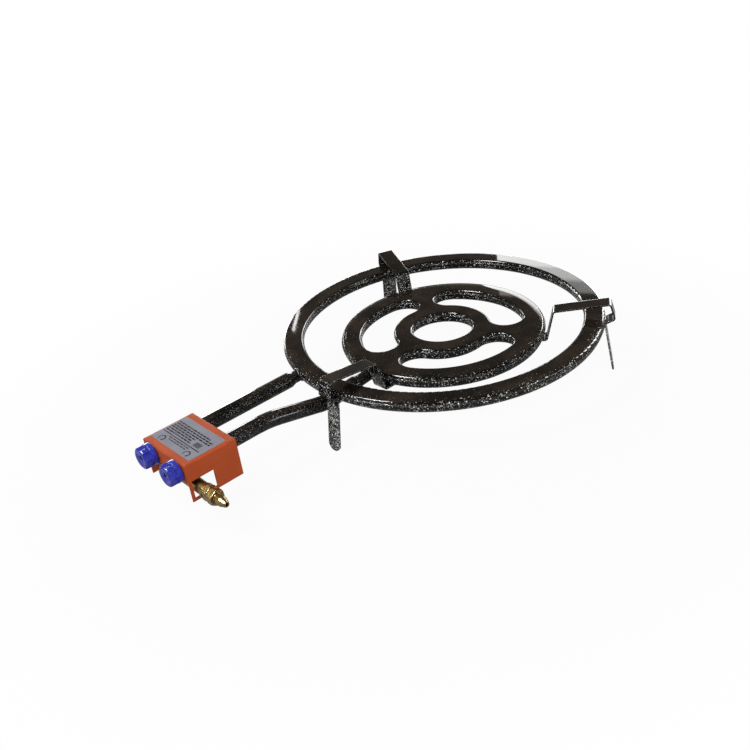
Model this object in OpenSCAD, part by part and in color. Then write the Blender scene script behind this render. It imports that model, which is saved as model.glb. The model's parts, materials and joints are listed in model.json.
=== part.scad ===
// Two-circuit paella gas burner: an outer ring and a lower inner burner on three strip legs,
// fed by two tubes from a folded control box with two taps and a hose inlet.
// The floor is at height zero, the tubes run toward +Y and the knobs face -Y.

/* [Outer ring] */
// Diameter of the outer ring over its seam lip
ring_d = 400; // [300:5:600]
// Width of the ring section over both seam lips
ring_w = 26; // [20:0.5:34]
// Height of the pressed covers above their seam
cover_h = 5; // [4.5:0.5:8]
// Shoulder radius of the pressed covers
cover_r = 2.6; // [2:0.2:4]
// Depth of the outer trough below the seam
trough_h = 12; // [11:0.5:16]
// Bottom corner radius of the outer trough
trough_r = 10.5; // [6:0.5:11]
// Thickness of the pressed sheet
sheet = 1.2; // [0.8:0.1:2]
// Reach of the seam lip beyond the walls
seam_lip = 1; // [0.5:0.1:2]
// Thickness of each half of the seam lip
seam_t = 0.9; // [0.6:0.1:1]
// Diameter of a flame port
port_d = 2.2; // [1.5:0.1:3]
// Depth of the flame ports below the seam
port_drop = 3; // [2:0.1:5]
// Length of the drill that opens a port
port_l = 8; // [6:0.5:10]
// Flame ports around each wall of the outer ring
ring_ports = 60; // [40:2:120]

/* [Inner burner] */
// Diameter of the inner burner over its seam lip
burner_d = 256; // [200:2:300]
// Drop of the inner burner's top below the ring's top
burner_drop = 12.4; // [8:0.2:20]
// Depth of the inner dish below its seam
dish_h = 12; // [11:0.5:16]
// Bottom corner radius of the inner dish
dish_r = 9; // [6:0.5:10]
// Radius of the outer side of the curved openings
slot_out_r = 103; // [90:0.5:110]
// Radius of the inner side of the curved openings
slot_in_r = 60.5; // [55:0.5:70]
// Radius of the hole in the middle
hole_r = 38; // [30:0.5:42]
// Width of a bridge at its narrowest
bridge_w = 22; // [20:0.5:30]
// Bridges between the two circles
bridges = 3; // [3:1:4]
// Direction of the first bridge
bridge_turn = 30; // [0:1:90]
// Flame ports around the inner burner's outer wall
burner_ports = 40; // [24:2:80]

/* [Feed tubes] */
// Outside diameter of the feed tubes
tube_d = 18.4; // [16:0.2:22]
// Wall of the feed tubes
tube_wall = 1.5; // [1:0.1:2.5]
// Diameter of the swaged neck that enters a burner
neck_d = 14.4; // [12:0.2:16]
// Distance between the two tubes
tube_gap = 50; // [40:1:70]
// Distance of the tube mouths behind the box front
mouth_back = 46.5; // [42:0.5:56]
// Length of the cone between tube and neck
cone_l = 6; // [3:0.5:12]
// Length of the outer tube's neck
outer_neck_l = 20; // [16:1:30]
// Length of the inner tube's neck
inner_neck_l = 21; // [16:1:28]
// Reach of the inner tube's neck past the inner burner's wall
inner_neck_in = 6; // [4:0.5:8]
// Bend radius where the inner tube starts down
dip_r = 120; // [60:5:200]
// Bend radius under the outer ring
rise_r = 80; // [60:5:120]
// Angle at which the inner tube goes down
dip_turn = 13; // [8:0.5:20]
// Angle at which the inner tube comes up again
rise_turn = 4.8; // [2:0.1:10]
// Swelling of the tube's radius in its bends
bend_swell = 0.15; // [0.1:0.01:0.3]
// Lap of the straight pieces into the bends
bend_lap = 2; // [1:0.5:3]
// Gap between the outer ring and the tube under it
under_gap = 0.2; // [0:0.1:2]

/* [Pan supports] */
// Width of the support strip
strip_w = 19.5; // [15:0.5:25]
// Thickness of the support strip
strip_t = 2; // [1.5:0.1:3]
// Angle from the right-hand support to the left-hand one
support_pitch = 120; // [115:1:125]
// Direction of the right-hand support
support_turn = 37; // [30:0.2:50]
// Direction of the front support
front_turn = 270; // [260:1:280]
// Distance of the front support from the inner tube's axis
front_shift = 21.6; // [20:0.2:26]
// Shift of the front support toward the ring axis
front_in = 0.8; // [0.4:0.1:1]
// Reach of the hook under the inner burner
hook_reach = 15; // [10:0.5:20]
// Distance of the hook's bend from the inner burner's wall
hook_gap = 2.4; // [2.2:0.2:6]
// Distance of the inner top bend from the inner burner's wall
inner_top_gap = 11.4; // [8:0.2:16]
// Height of the inner top bend above the ring's top
inner_top_z = 7.8; // [4:0.2:12]
// Reach of the outer top bend past the ring
outer_top_out = 5.4; // [3:0.2:10]
// Height of the outer top bend above the ring's top
outer_top_z = 15.6; // [10:0.2:20]
// Reach of the knee past the ring
knee_out = 10.6; // [7:0.2:14]
// Depth of the knee below the ring's top
knee_z = 4; // [2:0.2:8]
// Bite of the strip's middle into the ring's wall
wall_bite = 0.1; // [0:0.1:0.5]
// Depth at which the strip meets the ring's wall
wall_meet_z = 9.6; // [8:0.2:12]
// Reach of the leg past the ring at the floor
foot_out = 9; // [4:0.5:14]
// Height of the ring's top above the floor
ring_top = 76.5; // [60:0.5:160]
// Bend radius of the strip at mid thickness
strip_bend = 3; // [2:0.5:5]
// Radius of the rounded leg end
foot_round = 10.5; // [9:0.1:14]
// Height cut off the rounded leg end to make a flat
foot_flat = 0.3; // [0.1:0.1:1]
// Flat steps in each bend of the strip
bend_steps = 6; // [3:1:10]

/* [Control box] */
// Width of the box
box_w = 84; // [76:1:110]
// Depth of the box from front to back
box_d = 64; // [58:1:90]
// Height of the box
box_h = 46; // [40:1:60]
// Sheet thickness of the box
box_sheet = 1.5; // [1:0.1:2]
// Outside fold radius along the top edges
box_fold = 2; // [1.8:0.1:4]
// Distance of the box front from the ring axis
box_front = 391.5; // [360:0.5:480]
// Height of the box top above the ring's top
box_top = 3.3; // [1:0.1:8]
// Height of the front and rear flanges
flange_h = 24; // [22:0.5:30]
// Slit between a flange and the side walls
flange_slit = 0.4; // [0.2:0.1:1]
// Strip left in front of the side window
window_front = 3.5; // [2:0.5:8]
// Length of the side window
window_l = 27.7; // [24:0.1:34]
// Depth of the side window's top below the box top
window_top = 21.6; // [18:0.1:26]
// Bar left under the side window
window_bar = 3.3; // [2:0.1:6]

/* [Gas train] */
// Outside diameter of the manifold
manifold_d = 15; // [13:0.5:18]
// Bore of the manifold
manifold_bore = 8; // [6:0.5:9]
// Distance of the manifold behind the box front
manifold_back = 12; // [10.5:0.1:14]
// Distance of the manifold below the tap axes
manifold_drop = 20.6; // [18:0.1:23]
// Gap between the end plug and the left wall of the box
plug_gap = 1.5; // [1:0.1:4]
// Length of manifold past the right wall of the box
manifold_right = 11; // [6:0.5:16]
// Size across the corners of the end plug's head
plug_head_d = 14; // [11:0.5:15]
// Thickness of the end plug's head
plug_head_t = 4; // [3:0.5:5]
// Gap between the end plug and the outer tap's gas passage
plug_clear = 0.5; // [0.3:0.1:2]
// Diameter of the tap's threaded nose
nose_d = 12; // [11:0.5:14]
// Reach of the nose in front of the panel
nose_l = 5.3; // [5:0.1:6]
// Diameter of the tap's barrel
barrel_d = 16; // [14:0.5:19]
// Length of barrel behind the panel's front face
barrel_l = 25; // [22:0.5:28]
// Diameter of the tap's leg
leg_d = 12; // [10:0.5:13]
// Diameter of the threaded stub in the manifold
stub_d = 9; // [7:0.5:10]
// Gas passage through the leg
leg_bore = 5; // [3:0.5:6]
// Diameter of the tap's chamber
chamber_d = 7; // [6:0.5:8]
// Depth at which the chamber starts
chamber_start = 12; // [11:0.5:14]
// Diameter of the counterbore for spindle collar and bush
collar_bore = 8.2; // [8:0.1:9]
// Depth of the counterbore behind the panel's front face
collar_depth = 1; // [0.6:0.1:1.4]
// Thickness of the gland bush
bush_t = 2.4; // [2:0.1:3]
// Size across the corners of a panel nut
nut_d = 19.6; // [17:0.2:20]
// Thickness of a panel nut
nut_t = 4; // [3:0.1:4.2]
// Diameter of a panel washer
washer_d = 20; // [18:0.5:20]
// Thickness of a panel washer
washer_t = 0.8; // [0.5:0.1:1]
// Size across the corners of an injector's hexagon
injector_d = 12; // [10:0.5:14]
// Length of an injector's hexagon
injector_hex_l = 6; // [4:0.5:8]
// Length of an injector's thread
injector_thread_l = 6; // [4:0.5:8]
// Length of an injector's tapered nose
injector_nose_l = 9; // [6:0.5:12]
// Diameter of an injector's nose at its root
injector_root_d = 8; // [6:0.5:9]
// Diameter of an injector's tip
injector_tip_d = 5; // [4:0.5:6]
// Diameter of an injector's jet
jet_d = 1; // [0.6:0.1:1.6]
// Bore behind the jet
jet_feed_d = 4; // [3:0.5:5]
// Length of the jet
jet_l = 2; // [1:0.5:3]

/* [Knobs and spindles] */
// Diameter of a spindle
spindle_d = 6; // [5:0.5:7]
// Diameter of a spindle's collar
spindle_collar_d = 8; // [7.5:0.1:8.1]
// End play on each side of the collar
spindle_play = 0.3; // [0.3:0.05:0.5]
// Length of spindle in front of the panel
spindle_front = 11; // [10:0.5:12]
// Length of the flat on a spindle
spindle_flat_l = 4.6; // [3:0.2:5]
// Depth of the flat on a spindle
spindle_flat = 1; // [0.5:0.1:1.5]
// Length of plain spindle behind the panel
spindle_back = 8; // [6:0.5:9]
// Length of the needle at the spindle's end
needle_l = 2.5; // [1.5:0.5:3]
// Diameter of the needle's tip
needle_d = 2; // [1:0.5:3]
// Diameter of a knob
knob_d = 26; // [22:0.5:32]
// Diameter of the fluted body of a knob
knob_body_d = 25.2; // [20:0.2:31]
// Distance of a knob's rear face from the panel
knob_gap = 1.2; // [1:0.1:2]
// Length of a knob
knob_l = 14.8; // [13.6:0.1:17]
// Thickness of a knob's round skirt
knob_skirt_t = 5; // [4.6:0.1:6]
// Edge radius of a knob's front
knob_round = 2.5; // [1:0.1:3]
// Flutes around a knob
flutes = 6; // [5:1:10]
// Radius of a flute
flute_r = 9; // [5:0.5:12]
// Distance from the skirt to the end of a flute
flute_end = 0.5; // [0.3:0.1:1]
// Depth of a flute
flute_depth = 2.1; // [1:0.1:3]
// Diameter of the hollow behind a knob
knob_hollow_d = 21; // [20.5:0.1:22]
// Depth of the hollow behind a knob
knob_hollow_l = 5; // [4.6:0.1:5.2]
// Diameter of a knob's hub
hub_d = 10; // [9:0.5:12]
// Gap between a knob's hub and the tap's nose
hub_gap = 0.6; // [0.4:0.1:1]
// Thickness of the web under the knob screw
knob_web = 1.5; // [1:0.1:2]
// Diameter of the screw well in a knob
well_d = 6.8; // [6:0.2:8]
// Diameter of the dish in a knob's front
dish_d = 16; // [12:0.5:18]
// Depth of the dish in a knob's front
dish_depth = 1.4; // [0.5:0.1:2]
// Diameter of a knob screw's head
screw_head_d = 5.6; // [5:0.1:6]
// Thickness of a knob screw's head
screw_head_t = 1.3; // [1:0.1:1.6]
// Diameter of a knob screw
screw_d = 3; // [2.5:0.1:3.5]
// Length of a knob screw below its head
screw_l = 5.5; // [4:0.5:7]
// Width of the slot in a knob screw
screw_slot = 0.8; // [0.5:0.1:1.2]
// Depth of the slot in a knob screw
screw_slot_h = 0.6; // [0.4:0.1:0.9]

/* [Hose inlet] */
// Diameter of the inlet adaptor's flange
inlet_flange_d = 17.6; // [16:0.2:20]
// Thickness of the inlet adaptor's flange
inlet_flange_t = 3; // [1.5:0.1:4]
// Size across the corners of the adaptor's hexagon
inlet_hex_d = 18.4; // [17:0.2:22]
// Length of the adaptor's hexagon
inlet_hex_l = 8; // [6:0.5:12]
// Diameter of the adaptor's threaded end
inlet_thread_d = 14; // [13:0.1:14.6]
// Length of the adaptor's threaded end
inlet_thread_l = 4.5; // [3.5:0.1:5.5]
// Length of the adaptor's spigot in the manifold
inlet_spigot_l = 10; // [6:0.5:14]
// Bore through the inlet pieces
inlet_bore = 6; // [4:0.5:7]
// Thickness of the inlet seal
seal_t = 1; // [0.5:0.1:2]
// Size across the corners of the union nut
union_d = 19; // [18.2:0.2:23]
// Length of the union nut
union_l = 9; // [8:0.1:12]
// Gap between the adaptor's hexagon and the union nut
union_gap = 1; // [0.5:0.1:2]
// Chamfer on the corners of the inlet's hexagons
hex_chamfer = 1.2; // [0.5:0.1:1.2]
// Thickness of the hose tail's flange
tail_flange_t = 1.5; // [1:0.1:2]
// Diameter of the hose tail
tail_d = 11.5; // [8:0.1:11.8]
// Length of the straight part of the hose tail
tail_l = 7.5; // [6:0.5:20]
// Diameter of the hose tail's collar in the union nut
tail_collar_d = 12.2; // [12:0.1:12.8]
// Reach of the collar past the union nut
tail_collar_l = 1; // [0.5:0.1:2]
// Length of the tapered end of the hose tail
tail_taper_l = 8; // [4:0.5:12]
// Diameter of the hose tail's tip
tail_tip_d = 6.4; // [5.4:0.2:10]
// Bore of the hose tail
tail_bore = 3.6; // [3:0.2:4.6]

/* [Fits] */
// Radial clearance of fixed round fits
fit = 0.05; // [0.02:0.01:0.1]
// Radial clearance of a turning spindle
run = 0.05; // [0.02:0.01:0.1]
// Clearance around the tap noses in the panel
panel_fit = 0.2; // [0.1:0.05:0.4]
// Overrun of cuts
over = 0.5; // [0.2:0.1:1]

/* [Hidden] */
$fn = 64;
hex = 6;
ring_r = ring_d / 2;
wall_out = ring_r - seam_lip;
wall_in = ring_r - ring_w + seam_lip;
ring_mid = ring_r - ring_w / 2;
ring_h = cover_h + trough_h;
burner_wall = burner_d / 2 - seam_lip;
neck_end = burner_wall - inner_neck_in;
burner_seam = -burner_drop - cover_h;
burner_low = burner_seam - dish_h;
slot_mid = (slot_out_r + slot_in_r) / 2;
slot_half = (slot_out_r - slot_in_r) / 2;
slot_pitch = 360 / bridges;
slot_turn = slot_pitch / 2 - asin((bridge_w / 2 + slot_half) / slot_mid);
tube_z = -ring_h / 2;
tube_r = tube_d / 2;
tube_bore_r = tube_r - tube_wall;
neck_r = neck_d / 2;
neck_bore_r = neck_r - tube_wall;
outer_end = sqrt(ring_mid * ring_mid - tube_gap * tube_gap);
under_z = -ring_h - under_gap - tube_r - bend_swell;
dip_drop = tube_z - under_z;
dip_run = (dip_drop - (dip_r + rise_r) * (1 - cos(dip_turn))) / sin(dip_turn);
dip_start = ring_mid + (dip_r + rise_r) * sin(dip_turn) + dip_run * cos(dip_turn);
rise_run = (ring_mid - rise_r * sin(rise_turn) - neck_end) / cos(rise_turn);
neck_end_z = under_z + rise_r * (1 - cos(rise_turn)) + rise_run * sin(rise_turn);
knob_rear = -knob_gap;
knob_front = -knob_gap - knob_l;
ring_y = (box_front - knob_front - ring_r) / 2;
box_x = -tube_gap / 2;
box_left = box_x - box_w / 2;
box_right = box_x + box_w / 2;
tube_mouth = box_front - mouth_back;
manifold_z = tube_z - manifold_drop;
manifold_end = box_right + manifold_right;
manifold_start = box_left + box_sheet + plug_gap + plug_head_t;
plug_l = -tube_gap - leg_bore / 2 - plug_clear - manifold_start;
collar_back = collar_depth - spindle_play;
bush_back = -nose_l + bush_t;
collar_front = bush_back + spindle_play;
hex_start = manifold_end + inlet_flange_t;
thread_start = hex_start + inlet_hex_l;
seal_start = thread_start + inlet_thread_l;
tail_start = seal_start + seal_t;
union_start = thread_start + union_gap;
union_seat = tail_start + tail_flange_t;
union_end = union_start + union_l;
tail_collar_end = union_end + tail_collar_l;
tail_straight_end = tail_collar_end + tail_l;
foot_r = ring_r + foot_out;
strip_path = [
    [burner_wall - hook_reach, burner_low - strip_t / 2],
    [burner_wall + hook_gap, burner_low - strip_t / 2],
    [burner_wall + inner_top_gap, inner_top_z],
    [ring_r + outer_top_out, outer_top_z],
    [ring_r + knee_out, -knee_z],
    [wall_out - wall_bite, -wall_meet_z],
    [foot_r, -ring_top - strip_t]
];
enamel = [0.07, 0.07, 0.07];
orange = [0.79, 0.34, 0.16];
brass = [0.72, 0.60, 0.28];
blue = [0.17, 0.20, 0.66];
steel = [0.6, 0.6, 0.62];
rubber = [0.12, 0.12, 0.12];

// Unit direction of a vector
function unit(v) = v / norm(v);
// Vector turned a quarter turn to the left
function left(v) = [-v[1], v[0]];
// Vector turned by an angle
function spin(v, a) = [v[0] * cos(a) - v[1] * sin(a), v[0] * sin(a) + v[1] * cos(a)];
// Signed angle from one direction to the next
function corner(a, b) = atan2(a[0] * b[1] - a[1] * b[0], a * b);
// Points of a list in reverse order
function back_to_front(v) = [for (i = [len(v) - 1 : -1 : 0]) v[i]];
// Points along one bend of a strip, offset to one side
function bend(p0, p1, p2, side) =
    let (
        d0 = unit(p1 - p0),
        a = corner(d0, unit(p2 - p1)),
        s = sign(a),
        c = p1 - d0 * strip_bend * tan(abs(a) / 2) + left(d0) * s * strip_bend
    )
    [for (j = [0 : bend_steps]) c + spin(left(d0), a * j / bend_steps) * (side - s * strip_bend)];
// Points along one side of a bent strip
function strip_side(p, side) =
    let (n = len(p) - 1)
    concat(
        [p[0] + left(unit(p[1] - p[0])) * side],
        [for (i = [1 : n - 1]) for (q = bend(p[i - 1], p[i], p[i + 1], side)) q],
        [p[n] + left(unit(p[n] - p[n - 1])) * side]
    );

// Frame with its origin on the ring axis at the ring's top
module at_ring() {
    translate([0, ring_y, ring_top]) children();
}

// Frame of a tap: origin on its axis at the box front, local height running back along +Y
module at_tap(x) {
    at_ring() translate([x, -box_front, tube_z]) rotate([-90, 0, 0]) children();
}

// Frame of the manifold: local height running along +X
module at_manifold() {
    at_ring() translate([0, -box_front + manifold_back, manifold_z]) rotate([0, 90, 0]) children();
}

// Section of a half shell's outside, standing on the seam between two walls
module half_section(a, b, h, r) {
    intersection() {
        translate([a, 0]) square([b - a, h]);
        union() {
            translate([a, 0]) square([b - a, h - r]);
            translate([a + r, 0]) square([b - a - 2 * r, h]);
            translate([a + r, h - r]) circle(r);
            translate([b - r, h - r]) circle(r);
        }
    }
}

// Section of the hollow inside a half shell, open past the seam
module hollow_section(a, b, h, r) {
    half_section(a + sheet, b - sheet, h - sheet, r - sheet);
    translate([a + sheet, -over]) square([b - a - 2 * sheet, over + (h - r)]);
}

// Section of a half shell of the outer ring, standing on the seam
module ring_section(h, r) {
    difference() {
        union() {
            half_section(wall_in, wall_out, h, r);
            translate([wall_in - seam_lip, 0]) square([ring_w, seam_t]);
        }
        hollow_section(wall_in, wall_out, h, r);
    }
}

// Half of the section of a cut for a curved opening, flared at its far edge
module slot_section(half, h, r, lip) {
    translate([0, -over]) square([half - lip, over + seam_t + (h - seam_t) / 2]);
    translate([0, seam_t]) square([half, h - seam_t + over]);
    difference() {
        translate([0, h - r]) square([half + r, r + over]);
        translate([half + r, h - r]) circle(r);
    }
}

// Cuts for the curved openings
module slots(half, h, r, lip) {
    for (k = [0 : bridges - 1]) {
        rotate(bridge_turn + slot_pitch * (k + 1 / 2)) {
            rotate(-slot_turn) rotate_extrude(angle = 2 * slot_turn) translate([slot_mid, 0]) {
                slot_section(half, h, r, lip);
                mirror([1, 0]) slot_section(half, h, r, lip);
            }
            for (s = [-1, 1]) {
                rotate(s * slot_turn) translate([slot_mid, 0, 0])
                    rotate_extrude() slot_section(half, h, r, lip);
            }
        }
    }
}

// Half shell of the inner burner, standing on the seam
module burner_half(h, r) {
    difference() {
        rotate_extrude() {
            half_section(hole_r, burner_wall, h, r);
            translate([hole_r - seam_lip, 0]) square([burner_wall - hole_r + 2 * seam_lip, seam_t]);
        }
        slots(slot_half, h, r, seam_lip);
        difference() {
            rotate_extrude() hollow_section(hole_r, burner_wall, h, r);
            translate([0, 0, -over]) slots(slot_half + sheet, h - sheet + over, r - sheet, 0);
        }
    }
}

// Drills for a circle of flame ports through one wall
module ports(radius, count, z) {
    for (i = [0 : count - 1]) {
        rotate((i + 1 / 2) * 360 / count) translate([radius, 0, z]) rotate([90, 0, 90])
            cylinder(h = port_l, d = port_d, center = true);
    }
}

// Solid run of the outer feed tube along +Y
module outer_run(main_r, end_r, extra) {
    translate([-tube_gap, -tube_mouth - extra, tube_z]) rotate([-90, 0, 0]) rotate_extrude()
        polygon([
            [0, 0],
            [main_r, 0],
            [main_r, tube_mouth - outer_end - outer_neck_l - cone_l + extra],
            [end_r, tube_mouth - outer_end - outer_neck_l + extra],
            [end_r, tube_mouth - outer_end + 2 * extra],
            [0, tube_mouth - outer_end + 2 * extra]
        ]);
}

// Straight piece of a bent run, lapped into the bends, with the rest of the run on its end
module straight(l, r, lap_in, lap_out) {
    translate([0, 0, -lap_in]) cylinder(h = l + lap_in + lap_out, r = r);
    translate([0, 0, l]) children();
}

// Bent piece of a run that curves toward local +X, with the rest of the run on its end
module curve(rad, a, r) {
    rotate([0, 0, 180]) rotate([90, 0, 0]) translate([-rad, 0, 0])
        rotate_extrude(angle = a) translate([rad, 0]) circle(r + bend_swell);
    translate([rad * (1 - cos(a)), 0, rad * sin(a)]) rotate([0, a, 0]) children();
}

// Solid run of the inner feed tube, dipping under the outer ring
module inner_run(main_r, end_r, extra) {
    translate([0, -tube_mouth, tube_z]) rotate([-90, 0, 0]) rotate([0, 0, 90])
        straight(tube_mouth - dip_start, main_r, extra, bend_lap)
        curve(dip_r, dip_turn, main_r)
        straight(dip_run, main_r, bend_lap, bend_lap)
        rotate([0, 0, 180]) curve(rise_r, dip_turn + rise_turn, main_r)
        inner_end(main_r, end_r, extra);
}

// Last straight of the inner feed tube with its cone and neck
module inner_end(main_r, end_r, extra) {
    main_l = rise_run - inner_neck_l - cone_l;
    rotate_extrude() polygon([
        [0, -bend_lap],
        [main_r, -bend_lap],
        [main_r, main_l],
        [end_r, main_l + cone_l],
        [end_r, rise_run + extra],
        [0, rise_run + extra]
    ]);
}

// Cut for the inner tube's neck in the inner burner
module inner_neck_cut() {
    translate([0, -neck_end, neck_end_z]) rotate([90 + rise_turn, 0, 0]) rotate(90)
        cylinder(h = inner_neck_l, r = neck_r + fit);
}

// Bent strip that holds both burners, carries the pan and stands on the floor
module support_strip() {
    floor_z = -ring_top;
    difference() {
        rotate([90, 0, 0]) linear_extrude(height = strip_w, center = true)
            polygon(concat(
                strip_side(strip_path, strip_t / 2),
                back_to_front(strip_side(strip_path, -strip_t / 2))
            ));
        translate([foot_r, 0, floor_z]) difference() {
            translate([-foot_round, -strip_w, -foot_round])
                cube([2 * foot_round, 2 * strip_w, 2 * foot_round]);
            translate([0, 0, foot_round - foot_flat]) rotate([0, 90, 0])
                cylinder(h = 4 * foot_round, r = foot_round, center = true);
        }
        translate([foot_r - foot_round, -strip_w, floor_z - 2 * foot_round])
            cube([2 * foot_round, 2 * strip_w, 2 * foot_round]);
    }
}

// One support turned and shifted to its place, fitted to the ring's wall
module support(turn, inward, side) {
    color(enamel) at_ring() rotate(turn) difference() {
        translate([-inward, side, 0]) support_strip();
        rotate_extrude() translate([0, -cover_h]) mirror([0, 1]) {
            half_section(wall_in, wall_out, trough_h, trough_r);
            translate([wall_in - seam_lip, 0]) square([ring_w, seam_t]);
        }
    }
}

module outer_ring_cover() {
    color(enamel) at_ring() translate([0, 0, -cover_h]) difference() {
        rotate_extrude() ring_section(cover_h, cover_r);
        translate([0, 0, cover_h]) outer_run(tube_r + fit, neck_r + fit, 0);
    }
}

module outer_ring_trough() {
    color(enamel) at_ring() difference() {
        translate([0, 0, -cover_h]) mirror([0, 0, 1]) rotate_extrude() ring_section(trough_h, trough_r);
        outer_run(tube_r + fit, neck_r + fit, 0);
        ports(wall_out, ring_ports, -cover_h - port_drop);
        ports(wall_in, ring_ports, -cover_h - port_drop);
    }
}

module inner_burner_cover() {
    color(enamel) at_ring() difference() {
        translate([0, 0, burner_seam]) burner_half(cover_h, cover_r);
        inner_neck_cut();
    }
}

module inner_burner_dish() {
    color(enamel) at_ring() difference() {
        translate([0, 0, burner_seam]) mirror([0, 0, 1]) burner_half(dish_h, dish_r);
        inner_neck_cut();
        ports(burner_wall, burner_ports, burner_seam - port_drop);
    }
}

module outer_feed_tube() {
    color(enamel) at_ring() difference() {
        outer_run(tube_r, neck_r, 0);
        outer_run(tube_bore_r, neck_bore_r, over);
    }
}

module inner_feed_tube() {
    color(enamel) at_ring() difference() {
        inner_run(tube_r, neck_r, 0);
        inner_run(tube_bore_r, neck_bore_r, over);
    }
}

module pan_support_right() {
    support(support_turn, 0, 0);
}

module pan_support_left() {
    support(support_turn + support_pitch, 0, 0);
}

module pan_support_front() {
    support(front_turn, front_in, front_shift);
}

// Section of the folded top and side walls
module box_section(w, h, r) {
    translate([-w / 2, 0]) square([w, h - r]);
    translate([-w / 2 + r, 0]) square([w - 2 * r, h]);
    for (s = [-1, 1]) {
        translate([s * (w / 2 - r), h - r]) circle(r);
    }
}

// Outside of the box with all four top edges folded over
module box_outside() {
    intersection() {
        rotate([90, 0, 0]) translate([0, 0, -box_d]) linear_extrude(height = box_d)
            box_section(box_w, box_h, box_fold);
        translate([0, box_d / 2, 0]) rotate([90, 0, 90])
            linear_extrude(height = box_w + 2 * over, center = true)
            box_section(box_d, box_h, box_fold);
    }
}

// Front or rear flange folded down between the side walls
module box_flange() {
    w = box_w - 2 * box_sheet - 2 * flange_slit;
    translate([-w / 2, 0, box_h - flange_h]) cube([w, box_sheet, flange_h]);
}

module control_box() {
    inside_w = box_w - 2 * box_sheet;
    inside_h = box_h - box_sheet;
    color(orange) at_ring() translate([box_x, -box_front, box_top - box_h]) difference() {
        box_outside();
        difference() {
            rotate([90, 0, 0]) translate([0, 0, -box_d - over])
                linear_extrude(height = box_d + 2 * over)
                translate([0, -over]) box_section(inside_w, inside_h + over, box_fold - box_sheet);
            box_flange();
            translate([0, box_d - box_sheet, 0]) box_flange();
        }
        translate([0, window_front, window_bar])
            cube([box_w, window_l, box_h - window_top - window_bar]);
        for (s = [-1, 1]) {
            translate([s * tube_gap / 2, 0, box_h - box_top + tube_z]) rotate([-90, 0, 0]) {
                translate([0, 0, -over]) cylinder(h = box_sheet + 2 * over, d = nose_d + 2 * panel_fit);
                translate([0, 0, box_d - box_sheet - over])
                    cylinder(h = box_sheet + 2 * over, d = tube_d + 2 * fit);
            }
        }
    }
}

// Cross holes of the manifold for the tap stubs
module manifold_holes(d, depth) {
    for (x = [-tube_gap, 0]) {
        translate([0, 0, x]) rotate([0, -90, 0]) cylinder(h = depth, d = d);
    }
}

module gas_manifold() {
    color(brass) at_manifold() difference() {
        translate([0, 0, manifold_start])
            cylinder(h = manifold_end - manifold_start, d = manifold_d);
        translate([0, 0, manifold_start - over])
            cylinder(h = manifold_end - manifold_start + 2 * over, d = manifold_bore);
        manifold_holes(stub_d + 2 * fit, manifold_d);
    }
}

module manifold_plug() {
    color(brass) at_manifold() translate([0, 0, manifold_start]) {
        translate([0, 0, -plug_head_t]) cylinder(h = plug_head_t, d = plug_head_d, $fn = hex);
        cylinder(h = plug_l, d = manifold_bore - 2 * fit);
    }
}

// Tap body on its own axis, with a leg down to the manifold
module tap_body() {
    difference() {
        union() {
            translate([0, 0, -nose_l]) cylinder(h = nose_l + box_sheet, d = nose_d);
            translate([0, 0, box_sheet]) cylinder(h = barrel_l - box_sheet, d = barrel_d);
            difference() {
                translate([0, 0, manifold_back]) rotate([-90, 0, 0])
                    cylinder(h = manifold_drop, d = leg_d);
                translate([0, manifold_drop, manifold_back]) rotate([0, 90, 0])
                    cylinder(h = tube_gap, d = manifold_d, center = true);
            }
            translate([0, 0, manifold_back]) rotate([-90, 0, 0])
                cylinder(h = manifold_drop - manifold_bore / 2, d = stub_d);
        }
        translate([0, 0, -nose_l - over]) cylinder(h = nose_l + over + collar_depth, d = collar_bore);
        translate([0, 0, -over]) cylinder(h = chamber_start + 2 * over, d = spindle_d + 2 * run);
        translate([0, 0, chamber_start]) cylinder(h = barrel_l, d = chamber_d);
        translate([0, 0, manifold_back]) rotate([-90, 0, 0])
            cylinder(h = manifold_drop, d = leg_bore);
    }
}

module outer_tap_body() {
    color(brass) at_tap(-tube_gap) tap_body();
}

module inner_tap_body() {
    color(brass) at_tap(0) tap_body();
}

module panel_washers() {
    for (x = [-tube_gap, 0]) {
        color(steel) at_tap(x) translate([0, 0, -washer_t]) difference() {
            cylinder(h = washer_t, d = washer_d);
            translate([0, 0, -over]) cylinder(h = washer_t + 2 * over, d = nose_d + 2 * panel_fit);
        }
    }
}

module panel_nuts() {
    for (x = [-tube_gap, 0]) {
        color(brass) at_tap(x) translate([0, 0, -washer_t - nut_t]) difference() {
            cylinder(h = nut_t, d = nut_d, $fn = hex);
            translate([0, 0, -over]) cylinder(h = nut_t + 2 * over, d = nose_d + 2 * fit);
        }
    }
}

module gland_bushes() {
    for (x = [-tube_gap, 0]) {
        color(brass) at_tap(x) translate([0, 0, -nose_l]) difference() {
            cylinder(h = bush_t, d = collar_bore - 2 * fit);
            translate([0, 0, -over]) cylinder(h = bush_t + 2 * over, d = spindle_d + 2 * run);
        }
    }
}

// Injector screwed into the rear of a tap
module injector() {
    difference() {
        union() {
            translate([0, 0, -injector_thread_l])
                cylinder(h = injector_thread_l, d = chamber_d - 2 * fit);
            cylinder(h = injector_hex_l, d = injector_d, $fn = hex);
            translate([0, 0, injector_hex_l])
                cylinder(h = injector_nose_l, d1 = injector_root_d, d2 = injector_tip_d);
        }
        translate([0, 0, -injector_thread_l - over])
            cylinder(h = injector_thread_l + over + injector_hex_l + injector_nose_l - jet_l, d = jet_feed_d);
        translate([0, 0, injector_hex_l]) cylinder(h = injector_nose_l + over, d = jet_d);
    }
}

module injectors() {
    for (x = [-tube_gap, 0]) {
        color(brass) at_tap(x) translate([0, 0, barrel_l]) injector();
    }
}

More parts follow.
